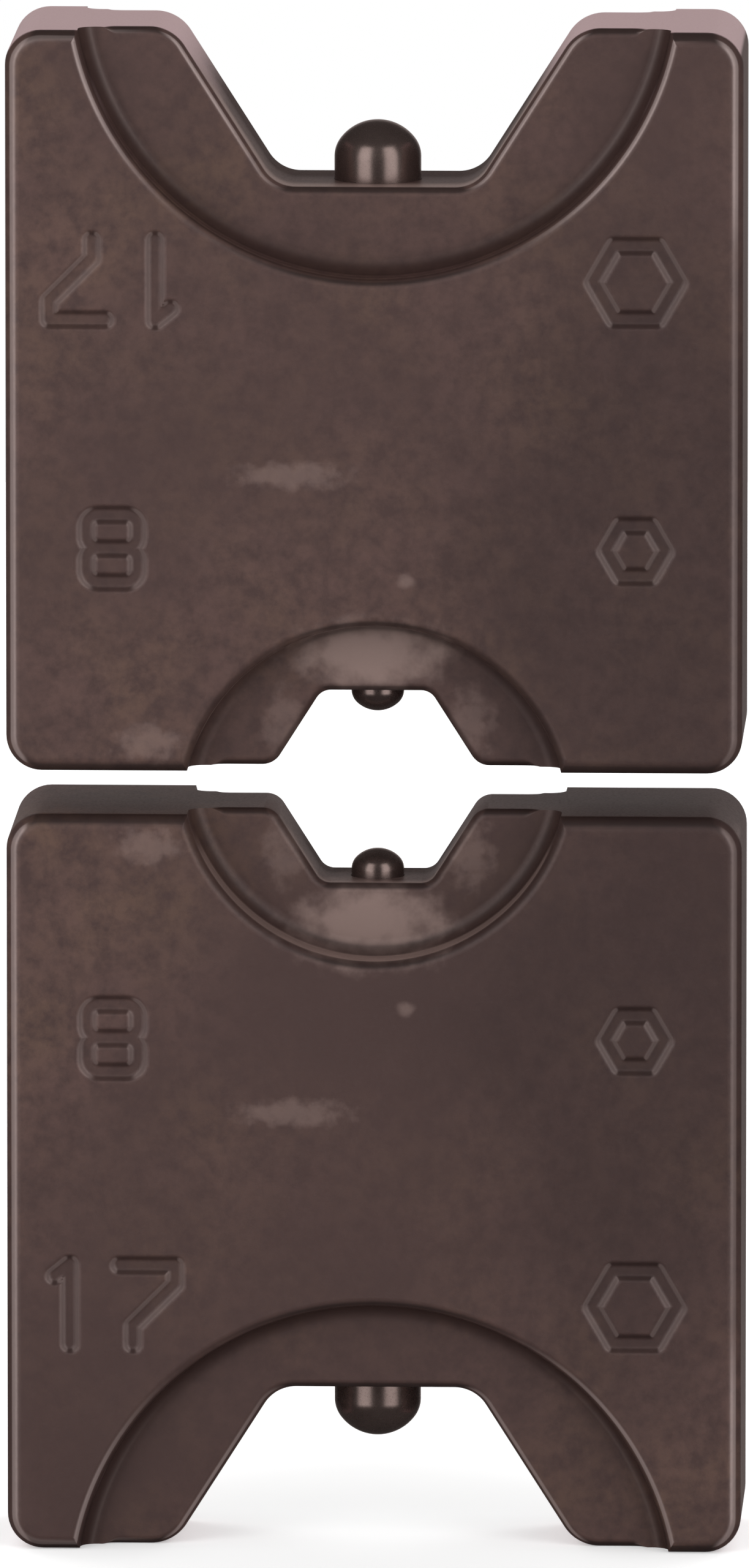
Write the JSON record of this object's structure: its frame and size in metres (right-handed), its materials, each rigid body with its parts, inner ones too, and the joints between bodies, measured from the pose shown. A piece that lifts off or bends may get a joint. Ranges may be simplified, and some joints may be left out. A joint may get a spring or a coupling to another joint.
{
  "type": "crimping die",
  "caption": "Pair of double-ended hexagonal crimping dies with domed indenter pins; the upper die slides down onto the lower one.",
  "frame": {"origin": "middle of the plane that the lower die's two feet stand on", "axes": "+Z is the pressing direction, from the lower die to the upper; X is across the width; +Y is through the thickness, from the front to the back"},
  "size_m": [0.039, 0.012, 0.0813],
  "materials": {
    "die_steel": "hardened tool steel, warm black oxide, satin",
    "indenter_steel": "hardened tool steel, dark, half polished"
  },
  "bodies": {
    "lower_die": {"lower_die_body": "die_steel", "lower_large_indenter": "indenter_steel", "lower_small_indenter": "indenter_steel"},
    "upper_die": {"upper_die_body": "die_steel", "upper_large_indenter": "indenter_steel", "upper_small_indenter": "indenter_steel"}
  },
  "joints": [
    {"name": "press_slide", "type": "slide", "parent": "lower_die", "child": "upper_die", "axis": [0, 0, 1], "range_m": [-0.0023, 0.016]}
  ]
}
